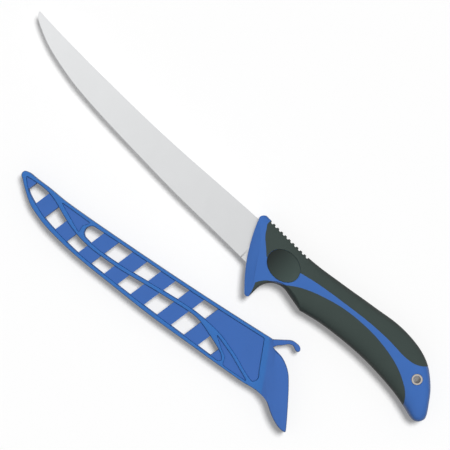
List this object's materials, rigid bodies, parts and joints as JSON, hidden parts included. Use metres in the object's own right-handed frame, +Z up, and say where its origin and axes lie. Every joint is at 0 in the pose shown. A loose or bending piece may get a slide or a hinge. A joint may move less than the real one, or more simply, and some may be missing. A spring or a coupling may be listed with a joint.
{
  "type": "fillet knife with sheath",
  "caption": "Fillet knife with a narrow flexible blade and a two-shot soft-grip handle, lying beside its windowed half-shell blade sheath.",
  "frame": {"origin": "middle of the footprint of knife and sheath, on the surface they lie on", "axes": "+X along the knife from the blade's tip to the pommel, +Y towards the blade's spine, +Z up, square to the blade's side"},
  "size_m": [0.3296, 0.1063, 0.019],
  "materials": {
    "blade_steel": "fine satin ground along the blade",
    "blue_plastic": "satin injection-moulded blue plastic",
    "grip_rubber": "soft matt dark green-grey overmoulding",
    "pad_rubber": "soft matt dark green-grey, slightly dished",
    "eyelet_metal": "rolled bright nickel",
    "sheath_plastic": "satin injection-moulded blue plastic"
  },
  "bodies": {
    "knife": {"blade": "blade_steel", "handle_core": "blue_plastic", "spine_grip": "grip_rubber", "belly_grip": "grip_rubber", "thumb_pad_front": "pad_rubber", "thumb_pad_back": "pad_rubber", "lanyard_eyelet": "eyelet_metal", "eyelet_washer": "eyelet_metal"},
    "sheath": {"sheath_front_shell": "sheath_plastic", "sheath_back_shell": "sheath_plastic"}
  },
  "joints": [
    {"name": "sheath_draw", "type": "slide", "parent": "knife", "child": "sheath", "axis": [-0.9813, -0.1925, 0], "range_m": [0, 0.18]}
  ]
}
